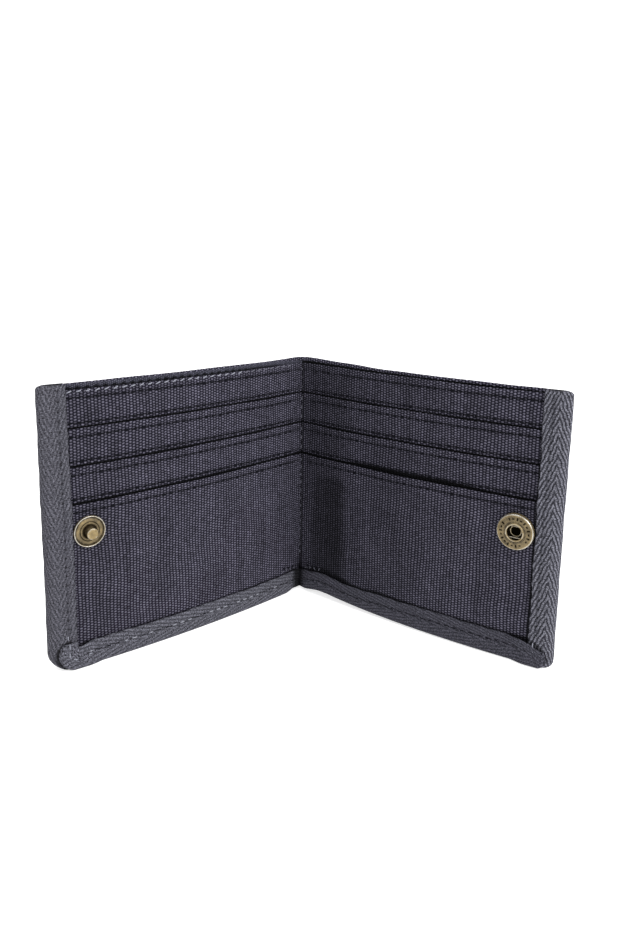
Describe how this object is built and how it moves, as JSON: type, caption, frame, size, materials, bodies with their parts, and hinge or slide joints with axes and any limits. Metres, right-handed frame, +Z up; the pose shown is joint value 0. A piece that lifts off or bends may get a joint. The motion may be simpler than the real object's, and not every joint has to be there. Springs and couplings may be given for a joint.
{
  "type": "bifold wallet",
  "caption": "Dark canvas bifold wallet standing open in a V, bound in herringbone tape, with stepped card pockets on each leaf and a press snap that holds the leaves shut.",
  "frame": {"origin": "centre of the overall box, on the plane that the wallet stands on", "axes": "+Z up; the spine is towards +Y and the opening of the V faces -Y; +X is to the right of someone who looks into the V"},
  "size_m": [0.1696, 0.0714, 0.0943],
  "materials": {
    "canvas": "heavy plain-weave canvas, dark indigo grey",
    "lining_canvas": "light plain-weave lining",
    "herringbone_tape": "herringbone twill tape, grey-blue",
    "thread": "dark waxed sewing thread",
    "tack_thread": "pale sewing thread",
    "antique_brass": "antique brass, worn bright on the rims",
    "spring_wire": "drawn spring wire"
  },
  "bodies": {
    "spine": {"shell_spine": "canvas", "lining_spine": "lining_canvas", "divider_spine": "canvas", "pocket_1_spine": "canvas", "pocket_2_spine": "canvas", "pocket_3_spine": "canvas", "bottom_binding_spine": "herringbone_tape", "stitching_spine": "thread"},
    "left_leaf": {"shell_left": "canvas", "lining_left": "lining_canvas", "divider_left": "canvas", "pocket_1_left": "canvas", "pocket_2_left": "canvas", "pocket_3_left": "canvas", "side_binding_left": "herringbone_tape", "bottom_binding_left": "herringbone_tape", "pocket_stitching_left": "thread", "binding_stitching_left": "thread", "corner_tack_left": "tack_thread", "snap_stud": "antique_brass", "stud_rivet": "antique_brass"},
    "right_leaf": {"shell_right": "canvas", "lining_right": "lining_canvas", "divider_right": "canvas", "pocket_1_right": "canvas", "pocket_2_right": "canvas", "pocket_3_right": "canvas", "side_binding_right": "herringbone_tape", "bottom_binding_right": "herringbone_tape", "pocket_stitching_right": "thread", "binding_stitching_right": "thread", "corner_tack_right": "tack_thread", "snap_socket": "antique_brass", "socket_spring": "spring_wire", "socket_rivet": "antique_brass"}
  },
  "joints": [
    {"name": "left_fold", "type": "hinge", "parent": "spine", "child": "left_leaf", "pos_m": [-0.0034, 0.02345, 0], "axis": [0, 0, 1], "range_deg": [-38, 53.2]},
    {"name": "right_fold", "type": "hinge", "parent": "spine", "child": "right_leaf", "pos_m": [0.0034, 0.02345, 0], "axis": [0, 0, -1], "range_deg": [-38, 53.2]}
  ]
}
